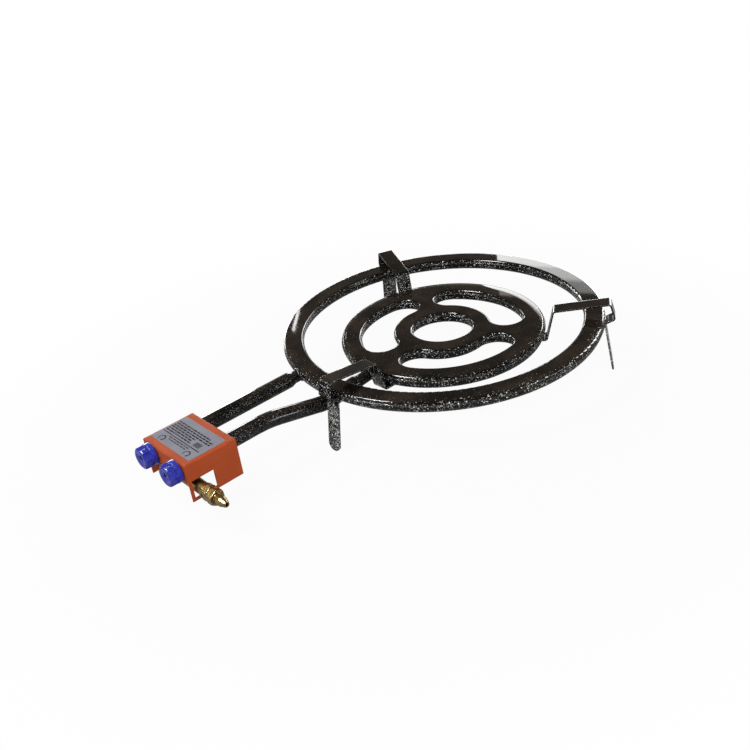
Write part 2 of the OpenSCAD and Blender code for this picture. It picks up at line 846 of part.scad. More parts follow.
// Spindle on the tap's axis
module spindle() {
    difference() {
        union() {
            translate([0, 0, -spindle_front]) cylinder(h = spindle_front + spindle_back, d = spindle_d);
            translate([0, 0, collar_front])
                cylinder(h = collar_back - collar_front, d = spindle_collar_d);
            translate([0, 0, spindle_back]) cylinder(h = needle_l, d1 = spindle_d, d2 = needle_d);
        }
        translate([-spindle_d, -spindle_d / 2 - spindle_d + spindle_flat, -spindle_front - over])
            cube([2 * spindle_d, spindle_d, spindle_flat_l + over]);
        translate([0, 0, -spindle_front - over])
            cylinder(h = screw_l + over, d = screw_d + 2 * fit);
    }
}

module outer_spindle() {
    color(brass) at_tap(-tube_gap) spindle();
}

module inner_spindle() {
    color(brass) at_tap(0) spindle();
}

// Hole of a knob's hub: round with one flat
module hub_hole() {
    difference() {
        translate([0, 0, -spindle_front]) cylinder(h = spindle_front, d = spindle_d + 2 * fit);
        translate([-spindle_d, -spindle_d / 2 - spindle_d + spindle_flat - fit, -spindle_front - over])
            cube([2 * spindle_d, spindle_d, spindle_flat_l + over]);
    }
}

// Outside of a knob with its round skirt and fluted body
module knob_body() {
    body_r = knob_body_d / 2;
    difference() {
        rotate_extrude() {
            translate([0, knob_rear - knob_skirt_t]) square([knob_d / 2, knob_skirt_t]);
            intersection() {
                translate([0, knob_front]) square([body_r, knob_l]);
                union() {
                    translate([0, knob_front]) square([body_r - knob_round, knob_l]);
                    translate([0, knob_front + knob_round]) square([body_r, knob_l - knob_round]);
                    translate([body_r - knob_round, knob_front + knob_round]) circle(knob_round);
                }
            }
        }
        for (i = [0 : flutes - 1]) {
            rotate((i + 1 / 2) * 360 / flutes)
                translate([body_r + flute_r - flute_depth, 0, knob_front - over])
                cylinder(h = knob_l - knob_skirt_t - flute_end + over, r = flute_r);
        }
    }
}

// Knob on the tap's axis
module knob() {
    web_front = -spindle_front - knob_web;
    difference() {
        knob_body();
        translate([0, 0, knob_rear - knob_hollow_l]) difference() {
            cylinder(h = knob_hollow_l + over, d = knob_hollow_d);
            translate([0, 0, -over]) cylinder(
                h = knob_hollow_l + over - nose_l - hub_gap + knob_gap, d = hub_d);
        }
        hub_hole();
        translate([0, 0, knob_front - over]) cylinder(h = web_front - knob_front + over, d = well_d);
        translate([0, 0, knob_front]) cylinder(h = dish_depth, d1 = dish_d, d2 = well_d);
        translate([0, 0, web_front - over]) cylinder(h = knob_web + 2 * over, d = screw_d + 2 * fit);
    }
}

module outer_knob() {
    color(blue) at_tap(-tube_gap) knob();
}

module inner_knob() {
    color(blue) at_tap(0) knob();
}

// Screw that holds a knob on its spindle
module knob_screw() {
    seat = -spindle_front - knob_web;
    difference() {
        union() {
            translate([0, 0, seat - screw_head_t]) cylinder(h = screw_head_t, d = screw_head_d);
            translate([0, 0, seat]) cylinder(h = screw_l, d = screw_d);
        }
        translate([-screw_head_d, -screw_slot / 2, seat - screw_head_t - over])
            cube([2 * screw_head_d, screw_slot, screw_slot_h + over]);
    }
}

module outer_knob_screw() {
    color(steel) at_tap(-tube_gap) knob_screw();
}

module inner_knob_screw() {
    color(steel) at_tap(0) knob_screw();
}

// Hexagon bar with chamfered corners at both ends
module hexagon(d, l) {
    intersection() {
        cylinder(h = l, d = d, $fn = hex);
        rotate_extrude() polygon([
            [0, 0],
            [d / 2 - hex_chamfer, 0],
            [d / 2, hex_chamfer],
            [d / 2, l - hex_chamfer],
            [d / 2 - hex_chamfer, l],
            [0, l]
        ]);
    }
}

module inlet_adaptor() {
    color(brass) at_manifold() difference() {
        union() {
            translate([0, 0, manifold_end - inlet_spigot_l])
                cylinder(h = inlet_spigot_l, d = manifold_bore - 2 * fit);
            translate([0, 0, manifold_end]) cylinder(h = inlet_flange_t, d = inlet_flange_d);
            translate([0, 0, hex_start]) hexagon(inlet_hex_d, inlet_hex_l);
            translate([0, 0, thread_start]) cylinder(h = inlet_thread_l, d = inlet_thread_d);
        }
        translate([0, 0, manifold_end - inlet_spigot_l - over])
            cylinder(h = seal_start - manifold_end + inlet_spigot_l + 2 * over, d = inlet_bore);
    }
}

module inlet_seal() {
    color(rubber) at_manifold() translate([0, 0, seal_start]) difference() {
        cylinder(h = seal_t, d = inlet_thread_d - 2 * fit);
        translate([0, 0, -over]) cylinder(h = seal_t + 2 * over, d = inlet_bore);
    }
}

module union_nut() {
    color(brass) at_manifold() translate([0, 0, union_start]) difference() {
        hexagon(union_d, union_l);
        translate([0, 0, -over])
            cylinder(h = union_seat - union_start + over, d = inlet_thread_d + 2 * fit);
        translate([0, 0, -over]) cylinder(h = union_l + 2 * over, d = tail_collar_d + 2 * fit);
    }
}

module hose_tail() {
    color(brass) at_manifold() difference() {
        rotate_extrude() polygon([
            [0, tail_start],
            [inlet_thread_d / 2 - fit, tail_start],
            [inlet_thread_d / 2 - fit, union_seat],
            [tail_collar_d / 2, union_seat],
            [tail_collar_d / 2, tail_collar_end],
            [tail_d / 2, tail_collar_end],
            [tail_d / 2, tail_straight_end],
            [tail_tip_d / 2, tail_straight_end + tail_taper_l],
            [0, tail_straight_end + tail_taper_l]
        ]);
        translate([0, 0, tail_start - over])
            cylinder(h = tail_straight_end + tail_taper_l - tail_start + 2 * over, d = tail_bore);
    }
}

outer_ring_cover();
outer_ring_trough();
inner_burner_cover();
inner_burner_dish();
outer_feed_tube();
inner_feed_tube();
pan_support_right();
pan_support_left();
pan_support_front();
control_box();
gas_manifold();
manifold_plug();
outer_tap_body();
inner_tap_body();
panel_washers();
panel_nuts();
gland_bushes();
injectors();
outer_spindle();
inner_spindle();
outer_knob();
inner_knob();
outer_knob_screw();
inner_knob_screw();
inlet_adaptor();
inlet_seal();
union_nut();
hose_tail();
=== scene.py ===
"""Looks, label, welds and stage of a paella gas burner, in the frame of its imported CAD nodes."""

import json
import math
from typing import NamedTuple

import bmesh
import bpy
from mathutils import Matrix, Quaternion, Vector


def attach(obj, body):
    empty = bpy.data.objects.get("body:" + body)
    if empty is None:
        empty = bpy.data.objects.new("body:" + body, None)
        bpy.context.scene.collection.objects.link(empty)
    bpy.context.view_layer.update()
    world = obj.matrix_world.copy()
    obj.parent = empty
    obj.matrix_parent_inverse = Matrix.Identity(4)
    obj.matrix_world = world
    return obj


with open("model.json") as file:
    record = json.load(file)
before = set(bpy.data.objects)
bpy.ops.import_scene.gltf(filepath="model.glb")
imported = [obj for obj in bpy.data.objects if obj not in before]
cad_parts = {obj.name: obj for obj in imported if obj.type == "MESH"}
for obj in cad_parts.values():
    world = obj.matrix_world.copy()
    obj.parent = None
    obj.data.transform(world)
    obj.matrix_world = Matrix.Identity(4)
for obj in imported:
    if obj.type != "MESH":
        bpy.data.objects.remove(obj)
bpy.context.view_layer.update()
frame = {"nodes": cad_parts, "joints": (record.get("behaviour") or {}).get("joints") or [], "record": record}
nodes = frame["nodes"]


# Places from the frame
def span(name):
    """Low and high corner of a CAD node."""
    points = [nodes[name].matrix_world @ v.co for v in nodes[name].data.vertices]
    return [Vector([pick(p[i] for p in points) for i in range(3)]) for pick in (min, max)]


MM = 0.001
ROOT = "burner"
MOUNTS = {m["name"]: Vector(m["pos_m"]) for m in frame["record"]["mounts"]}
KNOBS = {j["child"]: Vector(j["pos_m"]) for j in frame["joints"]}
BOX_LOW, BOX_HIGH = span("control_box")
RING = Vector((MOUNTS["pan_rest"].x, MOUNTS["pan_rest"].y, span("outer_ring_cover")[1].z))


def from_ring(place):
    """A place of the frame in millimetres from the ring's centre and top."""
    return (place - RING) / MM


# Outsides of the burners, in millimetres from the ring's centre and top
class Shell(NamedTuple):
    """A burner's top, the depth where its straight wall ends, the wall's radius and the rounding below it."""

    top: float
    depth: float
    wall: float
    low_round: float

    @property
    def wall_end(self):
        return self.top - self.depth


SHOULDER = 2.6
BURNER_TOP = from_ring(span("inner_burner_cover")[1]).z
RING_SHELL = Shell(top=0.0, depth=6.5, wall=199.0, low_round=10.5)
BURNER_SHELL = Shell(top=BURNER_TOP, depth=8.0, wall=127.0, low_round=9.0)

# Enamel: radius between burner and ring, radii of the ring's flecks (partly painted glints toward the rim),
# the burner's rim, heights on the legs
BURNER_REACH = 150 * MM
RIM_FLECKS = (186 * MM, 198 * MM)
RIM_ROUND = 10.5 * MM
RIM_DROP = 0.9 * MM
LEG_FLECKS = (50 * MM, 74 * MM)

# Camera fitted to the photo: angles in degrees, reach in metres, sensor in millimetres, the rest in pixels
PHOTO = 750
VIEW_TURN, VIEW_RISE, VIEW_ROLL = 51.88, 29.84, -8.16
VIEW_REACH = 1.18784
FOCAL = 950.0
RING_PIXEL = (441.28, 317.39)
SENSOR = 36


# Lamps
class Lamp(NamedTuple):
    """Way from the middle of the part, scale of that way, size in metres and power in watts."""

    way: Vector
    reach: float
    size: tuple
    power: float


class Panel(NamedTuple):
    """Turn in degrees from behind the ring to the left, edges in metres, level of light, roll in degrees."""

    turn: float
    left: float
    right: float
    low: float
    high: float
    level: float
    roll: float = 0.0


MIDDLE = RING + Vector((0, -0.1, 0))
KEY_WAY = Vector((-0.14, -0.63, 0.76))
KEY = Lamp(KEY_WAY, reach=1.3, size=(0.4, 0.4), power=8.6)
KEY_SHINE = Lamp(KEY_WAY, reach=1.29, size=(0.46, 0.46), power=55)
FILL = Lamp(Vector((0.85, -0.35, 0.4)), reach=1.6, size=(1.0, 0.8), power=11.5)
PANEL_REACH = 1.6
PANELS = {
    "far_right": Panel(25, left=-0.44, right=0.2, low=0.0, high=0.75, level=8),
    "far_right_fade": Panel(25, left=-0.44, right=0.2, low=0.75, high=0.79, level=5),
    "far_right_end": Panel(25, left=-0.44, right=0.2, low=0.79, high=0.83, level=2),
    "behind": Panel(2, left=-0.6, right=0.15, low=0.0, high=0.75, level=12),
    "left_strip": Panel(57, left=-0.171, right=-0.163, low=0.78, high=0.855, level=12, roll=-23),
    "left_low": Panel(57, left=-0.2, right=0.2, low=0.1, high=0.42, level=15),
    "left_end": Panel(82, left=-0.25, right=0.25, low=0.0, high=0.45, level=15),
    "right_end": Panel(-60, left=-0.25, right=0.25, low=0.2, high=0.45, level=14),
}

# World and floor: what gloss sees above and at which rise, ambient light, the floor's white and its fade
CEILING = (0.21, 0.18, 0.15, 1)
CEILING_RISE = (0.1, 0.42)
AMBIENT = (0.38, 0.38, 0.38, 1)
WHITE = (1, 1, 1, 1)
FLOOR_RADIUS = 3.0
FLOOR_COLOUR = (0.5, 0.5, 0.5, 1)
FLOOR_FADE = (0.25, 0.7)
FLOOR_GLOW = (0.95, 1.0)

# Label on the box's top, in millimetres from its left front corner: x0, y0, x1, y1; rows: y, x0, x1, height
LABEL = (2.7, 8.2, 79.6, 54.6)
LABEL_ROUND = 1.0
LABEL_THICK = 0.15
INK_THICK = 0.03
RULE = (4, 23.2, 75, 24.4)
DASH_ROWS = (
    (17.0, 25, 58, 1.3),
    (20.0, 22, 60, 1.4),
    (26.6, 5, 53, 2.0),
    (30.0, 5, 50, 2.0),
    (33.4, 5, 52, 2.0),
    (36.8, 5, 74, 2.0),
    (40.2, 5, 75, 2.0),
    (43.6, 5, 66, 2.0),
)
DASH_LEAST = 2.2
DASH_MORE = 4.6
DASH_GAP = 1.1
GRID_CORNER = (57.5, 27.0)
GRID_COUNT = (8, 5)
GRID_STEP = 1.4
GRID_SQUARE = 1.1

# Turn marks on the label: places, radius, half width and its growth, turns in degrees, arrow head
TURN_MARKS = ((17.0, 14.0), (66.0, 14.0))
TURN_RADIUS = 4.1
TURN_HALF = 0.5
TURN_SWELL = 0.4
TURN_START = 225
TURN_SWEEP = -250
HEAD_START = -25
HEAD_TIP = -62
HEAD_IN = 2.3
HEAD_OUT = 5.9


# Welds, in millimetres from the ring's centre and top
class Run(NamedTuple):
    """A bead on a strip's edge: its ends, the edge's distance from the strip's middle, gap to the shell."""

    ends: tuple
    edge: float
    gap: float
    steps: int


# Each tube lies behind its knob, and the inner one dips: x, z, radius, the shell that it enters
OUTER_TUBE = from_ring(KNOBS["outer_knob_set"])
INNER_TUBE = from_ring(KNOBS["inner_knob_set"])
INNER_TUBE_Z = -21.7
TUBE_WELDS = {
    "weld_outer_tube": (OUTER_TUBE.x, OUTER_TUBE.z, 7.4, RING_SHELL),
    "weld_inner_tube": (INNER_TUBE.x, INNER_TUBE_Z, 7.0, BURNER_SHELL),
}
TUBE_BEAD = 1.5
TUBE_GAP = 0.3

# Strips: turn in degrees and shift off the radius; heights down the ring's wall, reach along the hook
STRIPS = {"right": (37, 0.0), "left": (157, 0.0), "front": (270, from_ring(MOUNTS["front_foot"]).x)}
STRIP_BEAD = 1.0
RING_RUN = Run(ends=(-7.2, -13.2), edge=9.7, gap=0.2, steps=28)
HOOK_RUN = Run(ends=(113.0, 125.0), edge=9.9, gap=0.4, steps=34)

# Lumps of a bead: least radius, taper of its ends, share, rate and start of each ripple, a way no bead runs
BEAD_LEAST = 0.05
BEAD_TAPER = 6
RIPPLES = ((0.13, 1.9, 0.0), (0.07, 0.83, 1.3))
NO_BEAD_WAY = Vector((0.31, 0.17, 0.94))


# Materials
class Look:
    """A material with short calls for its nodes."""

    def __init__(self, name):
        self.mat = bpy.data.materials.new(name)
        self.mat.use_nodes = True
        self.tree = self.mat.node_tree
        self.bsdf = self.tree.nodes["Principled BSDF"]
        self.where = self.add("ShaderNodeTexCoord").outputs["Object"]

    def add(self, kind, **settings):
        node = self.tree.nodes.new(kind)
        for key, value in settings.items():
            setattr(node, key, value)
        return node

    def put(self, socket, value):
        if isinstance(value, bpy.types.NodeSocket):
            self.tree.links.new(value, socket)
        else:
            socket.default_value = value

    def noise(self, scale, detail=2.0, rough=0.5, distortion=0.0, vector=None):
        n = self.add("ShaderNodeTexNoise")
        self.put(n.inputs["Vector"], vector or self.where)
        n.inputs["Scale"].default_value = scale
        n.inputs["Detail"].default_value = detail
        n.inputs["Roughness"].default_value = rough
        n.inputs["Distortion"].default_value = distortion
        return n.outputs["Fac"]

    def dots(self, scale, reach, wobble):
        """Flecks: one where a point lies within a share of a cell of its cell's middle."""
        n = self.add("ShaderNodeTexNoise")
        self.put(n.inputs["Vector"], self.where)
        n.inputs["Scale"].default_value = scale * 1.7
        shift = self.add("ShaderNodeVectorMath", operation="MULTIPLY_ADD")
        self.put(shift.inputs[0], n.outputs["Color"])
        shift.inputs[1].default_value = (wobble / scale,) * 3
        self.put(shift.inputs[2], self.where)
        v = self.add("ShaderNodeTexVoronoi")
        self.put(v.inputs["Vector"], shift.outputs["Vector"])
        v.inputs["Scale"].default_value = scale
        return self.ramp(self.math("SUBTRACT", reach, v.outputs["Distance"]), 0.0, 0.07)

    def ramp(self, value, low, high, to_low=0.0, to_high=1.0, smooth=True):
        n = self.add("ShaderNodeMapRange")
        n.interpolation_type = "SMOOTHSTEP" if smooth else "LINEAR"
        self.put(n.inputs["Value"], value)
        for key, v in (("From Min", low), ("From Max", high), ("To Min", to_low), ("To Max", to_high)):
            self.put(n.inputs[key], v)
        return n.outputs["Result"]

    def math(self, op, a, b=0.0):
        n = self.add("ShaderNodeMath", operation=op)
        self.put(n.inputs[0], a)
        self.put(n.inputs[1], b)
        return n.outputs[0]

    def mix(self, factor, a, b):
        n = self.add("ShaderNodeMix", data_type="RGBA")
        self.put(n.inputs["Factor"], factor)
        self.put(n.inputs["A"], a)
        self.put(n.inputs["B"], b)
        return n.outputs["Result"]

    def stretched(self, x, y, z):
        n = self.add("ShaderNodeMapping")
        self.put(n.inputs["Vector"], self.where)
        n.inputs["Scale"].default_value = (x, y, z)
        return n.outputs["Vector"]

    def split(self, vector):
        n = self.add("ShaderNodeSeparateXYZ")
        self.put(n.inputs["Vector"], vector)
        return n.outputs

    def facing_up(self):
        return self.split(self.add("ShaderNodeNewGeometry").outputs["Normal"])["Z"]

    def height(self):
        return self.split(self.where)["Z"]

    def from_axis(self, x, y):
        """Distance from an upright axis."""
        place = self.split(self.where)
        a, b = self.math("SUBTRACT", place["X"], x), self.math("SUBTRACT", place["Y"], y)
        return self.math("SQRT", self.math("ADD", self.math("MULTIPLY", a, a), self.math("MULTIPLY", b, b)))

    def rounded(self, radius):
        n = self.add("ShaderNodeBevel", samples=6)
        n.inputs["Radius"].default_value = radius
        return n.outputs["Normal"]

    def edges(self, radius, low, high):
        """One on sharp edges, none on flats."""
        n = self.add("ShaderNodeVectorMath", operation="DOT_PRODUCT")
        self.put(n.inputs[0], self.rounded(radius))
        self.put(n.inputs[1], self.add("ShaderNodeNewGeometry").outputs["Normal"])
        return self.ramp(n.outputs["Value"], 1 - high, 1 - low, 1.0, 0.0)

    def bump(self, height, strength, distance, normal=None):
        n = self.add("ShaderNodeBump")
        n.inputs["Strength"].default_value = strength
        n.inputs["Distance"].default_value = distance
        self.put(n.inputs["Height"], height)
        if normal is not None:
            self.put(n.inputs["Normal"], normal)
        return n.outputs["Normal"]

    def finish(self, **sockets):
        for key, value in sockets.items():
            self.put(self.bsdf.inputs[key.replace("_", " ")], value)
        return self.mat


def rgb(r, g, b, share=1.0):
    """Linear colour from a share of sRGB values of 0 to 255."""
    def one(v):
        v *= share / 255
        return v / 12.92 if v <= 0.04045 else ((v + 0.055) / 1.055) ** 2.4
    return (one(r), one(g), one(b), 1.0)


def burner_rim(k):
    """How much of the tops' fleck cut holds toward the outer wall, where more flecks stand partly for painted
    glints on the rim, and the round drop of the inner burner's rim.
    """
    out = k.from_axis(RING.x, RING.y)
    burner = k.math("LESS_THAN", out, BURNER_REACH)
    as_ring = k.math("ADD", out, k.math("MULTIPLY", burner, (RING_SHELL.wall - BURNER_SHELL.wall) * MM))
    top_fleck_cut = k.ramp(as_ring, *RIM_FLECKS, 1.0, 0.35)
    wall = BURNER_SHELL.wall * MM
    drop = k.math("MULTIPLY", burner, k.ramp(out, wall - RIM_ROUND, wall, smooth=False))
    return top_fleck_cut, k.math("MULTIPLY", k.math("MULTIPLY", drop, drop), -1.0)


def enamel_look(name, dense=0.0, scale=330, bright=1.0, edge_wear_and_glint=0.55, top_fleck_cut=0.22, rim=False, legs=False):
    """Black gloss enamel with crisp pale flecks: many on the walls, few on the tops.

    The pale flecks are partly the enamel's own speckle and partly painted glints, so they crowd the walls and
    rims and thin out on the tops. A rim look flecks the tops toward their outer walls, where it also rounds
    the inner burner; a legs look has more flecks low down.
    """
    k = Look(name)
    up = k.ramp(k.facing_up(), 0.55, 0.95)
    clear = up
    normal = k.rounded(0.8 * MM)
    if rim:
        left, drop = burner_rim(k)
        clear = k.math("MULTIPLY", up, left)
        normal = k.bump(drop, 1.0, RIM_DROP, normal)
    patches = k.math("MULTIPLY", k.math("SUBTRACT", k.noise(45), 0.5), 0.3)
    if legs:
        patches = k.math("ADD", patches, k.ramp(k.height(), *LEG_FLECKS, 0.04, -0.12))
    # Fleck reach: the flecks are partly real speckle and partly painted glints, cut back on upward faces.
    reach = k.math("SUBTRACT", k.math("ADD", patches, 0.29 + dense), k.math("MULTIPLY", clear, top_fleck_cut + dense))
    fine = k.dots(1.9 * scale, k.math("SUBTRACT", reach, 0.1), 0.5)
    pale = k.math("MAXIMUM", k.dots(scale, reach, 0.5), fine)
    # Painted light: upward faces get a blotchy dark brown ground while the walls stay near black, standing in
    # for the light and dim reflection the tops catch from above.
    top_lit_tone = k.ramp(k.noise(18, 3.0), 0.35, 0.7)
    ground = k.mix(k.math("MULTIPLY", up, top_lit_tone), rgb(7, 7, 7), rgb(44, 35, 28))
    dust = k.math("MULTIPLY", k.dots(760, 0.34, 0.6), k.ramp(k.noise(70), 0.35, 0.65, 0.1, 0.5))
    ground = k.mix(dust, ground, rgb(78, 74, 68))
    fleck = k.mix(k.ramp(k.noise(260), 0.35, 0.65), rgb(120, 121, 119, bright), rgb(240, 240, 236, bright))
    colour = k.mix(pale, ground, fleck)
    # Paler sharp edges: partly enamel worn thin there, partly painted highlights along the edges.
    if edge_wear_and_glint:
        edge = k.edges(0.4 * MM, 0.03, 0.3)
        colour = k.mix(k.math("MULTIPLY", edge, edge_wear_and_glint), colour, rgb(196, 195, 191))
    skin = k.math("ADD", k.noise(330), k.math("MULTIPLY", pale, 0.5))
    skin = k.math("MULTIPLY", skin, k.ramp(up, 0.0, 1.0, 1.0, 0.05))
    gloss = k.ramp(k.noise(60, 3.0), 0.3, 0.7, 0.04, 0.08)
    return k.finish(
        Base_Color=colour,
        Roughness=k.math("MULTIPLY", gloss, k.ramp(up, 0.0, 1.0, 1.0, 0.5)),
        Specular_IOR_Level=0.22,
        Normal=k.bump(skin, 0.22, 0.25 * MM, normal),
    )


def paint_look(name):
    """Orange powder coat on folded sheet."""
    k = Look(name)
    mottle = k.noise(30, 4.0, 0.6)
    colour = k.mix(k.ramp(mottle, 0.3, 0.7), rgb(167, 73, 39), rgb(176, 80, 44))
    specks = k.ramp(k.noise(1500, 1.0), 0.62, 0.72)
    colour = k.mix(k.math("MULTIPLY", specks, 0.12), colour, rgb(196, 108, 70))
    edge = k.edges(0.5 * MM, 0.03, 0.25)
    wear = k.math("MULTIPLY", edge, k.ramp(k.noise(140, 3.0), 0.35, 0.6))
    colour = k.mix(k.math("MULTIPLY", wear, 0.35), colour, rgb(206, 128, 92))
    peel = k.math("ADD", k.noise(700), k.math("MULTIPLY", k.noise(1900, 1.0), 0.4))
    return k.finish(
        Base_Color=colour,
        Roughness=k.ramp(k.noise(90, 3.0), 0.3, 0.7, 0.36, 0.5),
        Specular_IOR_Level=0.06,
        Normal=k.bump(peel, 0.12, 0.12 * MM, k.rounded(0.7 * MM)),
    )


def brass_look(name):
    """Turned brass with tool marks across its axis and a little tarnish."""
    k = Look(name)
    rings = k.noise(1.0, 3.0, 0.7, vector=k.stretched(5200, 160, 160))
    stain = k.noise(120, 4.0, 0.6)
    colour = k.mix(k.ramp(stain, 0.38, 0.72), rgb(148, 126, 82), rgb(106, 86, 50))
    edge = k.edges(0.4 * MM, 0.03, 0.3)
    colour = k.mix(k.math("MULTIPLY", edge, 0.5), colour, rgb(205, 190, 142))
    rough = k.math("ADD", k.ramp(stain, 0.3, 0.75, 0.16, 0.3), k.math("MULTIPLY", rings, 0.1))
    return k.finish(
        Base_Color=colour,
        Metallic=1.0,
        Roughness=rough,
        Normal=k.bump(rings, 0.1, 0.06 * MM, k.rounded(0.5 * MM)),
    )


def plastic_look(name):
    """Gloss blue moulding."""
    k = Look(name)
    flow = k.noise(160, 3.0, 0.55, 0.6)
    colour = k.mix(k.ramp(flow, 0.35, 0.65), rgb(38, 43, 151), rgb(43, 50, 160))
    scuffs = k.ramp(k.noise(1.0, 2.0, 0.6, vector=k.stretched(1500, 500, 1500)), 0.62, 0.7)
    colour = k.mix(k.math("MULTIPLY", scuffs, 0.06), colour, rgb(120, 124, 220))
    rough = k.math("ADD", k.ramp(k.noise(240), 0.3, 0.7, 0.24, 0.34), k.math("MULTIPLY", scuffs, 0.1))
    return k.finish(
        Base_Color=colour,
        Roughness=rough,
        Normal=k.bump(k.noise(420), 0.03, 0.1 * MM, k.rounded(0.6 * MM)),
        Specular_IOR_Level=0.35,
    )


def zinc_look(name, share=1.0):
    """Plated steel, at full brightness or darkened by a share of its colour."""
    k = Look(name)
    cloud = k.noise(300, 4.0, 0.6)
    return k.finish(
        Base_Color=k.mix(k.ramp(cloud, 0.35, 0.7), rgb(176, 178, 182, share), rgb(140, 142, 146, share)),
        Metallic=1.0,
        Roughness=k.ramp(k.noise(900, 3.0), 0.3, 0.7, 0.28, 0.45),
        Normal=k.bump(k.noise(1600), 0.1, 0.05 * MM, k.rounded(0.3 * MM)),
    )


def rubber_look(name):
    """Matt black seal."""
    k = Look(name)
    return k.finish(
        Base_Color=k.mix(k.ramp(k.noise(500, 3.0), 0.35, 0.7), rgb(22, 22, 23), rgb(38, 38, 38)),
        Roughness=k.ramp(k.noise(800), 0.3, 0.7, 0.62, 0.8),
        Normal=k.bump(k.noise(1400, 3.0), 0.25, 0.06 * MM),
    )


def plate_look(name):
    """Grey foil plate with a fine brushed grain."""
    k = Look(name)
    grain = k.noise(1.0, 3.0, 0.6, vector=k.stretched(160, 6000, 160))
    cloud = k.noise(55, 3.0, 0.55)
    colour = k.mix(k.ramp(cloud, 0.3, 0.7), rgb(122, 122, 132), rgb(134, 134, 143))
    return k.finish(
        Base_Color=k.mix(k.math("MULTIPLY", grain, 0.18), colour, rgb(108, 108, 120)),
        Roughness=k.ramp(grain, 0.3, 0.7, 0.34, 0.5),
        Specular_IOR_Level=0.08,
        Normal=k.bump(grain, 0.06, 0.04 * MM),
    )


def ink_look(name):
    """Printed dark ink."""
    k = Look(name)
    return k.finish(
        Base_Color=k.mix(k.ramp(k.noise(900), 0.4, 0.7), rgb(12, 12, 18), rgb(28, 28, 36)),
        Roughness=k.ramp(k.noise(500), 0.3, 0.7, 0.42, 0.55),
        Specular_IOR_Level=0.08,
    )


LOOKS = {
    "enamel": enamel_look("speckled_enamel", rim=True),
    "orange_paint": paint_look("orange_powder_coat"),
    "brass": brass_look("turned_brass"),
    "blue_plastic": plastic_look("blue_moulding"),
    "steel": zinc_look("zinc_plate"),
    "seal_rubber": rubber_look("black_rubber"),
}
TUBE_LOOK = enamel_look("tube_enamel", scale=560, bright=0.54, edge_wear_and_glint=0.0, top_fleck_cut=0.05)
STRIP_LOOK = enamel_look("strip_enamel", dense=0.12, scale=480, bright=0.9, edge_wear_and_glint=0.85, legs=True)
# Painted shade: the knob screws get a darker copy of the plated steel, standing for the shade in the knobs'
# wells.
SHADED_SCREW_LOOK = zinc_look("screw_steel_painted_shade", 0.45)
OWN_LOOKS = {
    "outer_feed_tube": TUBE_LOOK,
    "inner_feed_tube": TUBE_LOOK,
    "pan_support_front": STRIP_LOOK,
    "pan_support_left": STRIP_LOOK,
    "pan_support_right": STRIP_LOOK,
    "outer_knob_screw": SHADED_SCREW_LOOK,
    "inner_knob_screw": SHADED_SCREW_LOOK,
}


def dress_nodes():
    """Give each CAD node the look of its material slot, or its own."""
    for sub in frame["record"]["subparts"]:
        mesh = nodes[sub["node"]].data
        mesh.materials.clear()
        mesh.materials.append(OWN_LOOKS.get(sub["node"], LOOKS[sub["material_slot"]]))


# Pieces
def piece(name, mesh, look, body=ROOT):
    obj = bpy.data.objects.new(name, mesh)
    bpy.context.scene.collection.objects.link(obj)
    mesh.materials.append(look)
    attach(obj, body)


def from_bmesh(name, bm, smooth=True):
    bmesh.ops.recalc_face_normals(bm, faces=bm.faces)
    mesh = bpy.data.meshes.new(name)
    bm.to_mesh(mesh)
    bm.free()
    for p in mesh.polygons:
        p.use_smooth = smooth
    return mesh


def slab(bm, outline, z0, z1):
    """A flat piece between two heights over an outline."""
    low = [bm.verts.new((x, y, z0)) for x, y in outline]
    high = [bm.verts.new((x, y, z1)) for x, y in outline]
    bm.faces.new(list(reversed(low)))
    bm.faces.new(high)
    n = len(outline)
    for i in range(n):
        j = (i + 1) % n
        bm.faces.new((low[i], low[j], high[j], high[i]))


def ribbon(bm, inner, outer, low, high):
    """A flat band between two rows of points and two heights."""
    a, b, c, d = [[bm.verts.new((x, y, z)) for x, y in line] for z in (low, high) for line in (inner, outer)]
    for i in range(len(a) - 1):
        bm.faces.new((c[i], d[i], d[i + 1], c[i + 1]))
        bm.faces.new((a[i], a[i + 1], b[i + 1], b[i]))
        bm.faces.new((a[i], c[i], c[i + 1], a[i + 1]))
        bm.faces.new((b[i], b[i + 1], d[i + 1], d[i]))
    bm.faces.new((a[0], b[0], d[0], c[0]))
    bm.faces.new((a[-1], c[-1], d[-1], b[-1]))


def on_circle(centre, radius, turn):
    a = math.radians(turn)
    return centre[0] + radius * math.cos(a), centre[1] + radius * math.sin(a)


def rounded_rect(x0, y0, x1, y1, r, steps=6):
    corners = ((x1 - r, y1 - r), (x0 + r, y1 - r), (x0 + r, y0 + r), (x1 - r, y0 + r))
    return [on_circle(c, r, 90 * (n + i / steps)) for n, c in enumerate(corners) for i in range(steps + 1)]


# Label
def turn_mark(bm, centre, low, high, steps=30):
    """Three quarters of a circle that widens toward its end, with an arrow head."""
    inner, outer = [], []
    for i in range(steps + 1):
        t = i / steps
        turn = TURN_START + TURN_SWEEP * t
        half = TURN_HALF + TURN_SWELL * t
        inner.append(on_circle(centre, (TURN_RADIUS - half) * MM, turn))
        outer.append(on_circle(centre, (TURN_RADIUS + half) * MM, turn))
    ribbon(bm, inner, outer, low, high)
    head = ((HEAD_IN, HEAD_START), (HEAD_OUT, HEAD_START), (TURN_RADIUS, HEAD_TIP))
    slab(bm, [on_circle(centre, r * MM, turn) for r, turn in head], low, high)


def dashes():
    """Rows of plain dashes of uneven length that stand in for print."""
    marks = []
    for row, x, end, tall in DASH_ROWS:
        step = int(row * 10)
        while x < end:
            step = (step * 73 + 41) % 101
            dash = min(DASH_LEAST + DASH_MORE * step / 100, end - x)
            marks.append((x, row, x + dash, row + tall))
            x += dash + DASH_GAP
    return marks


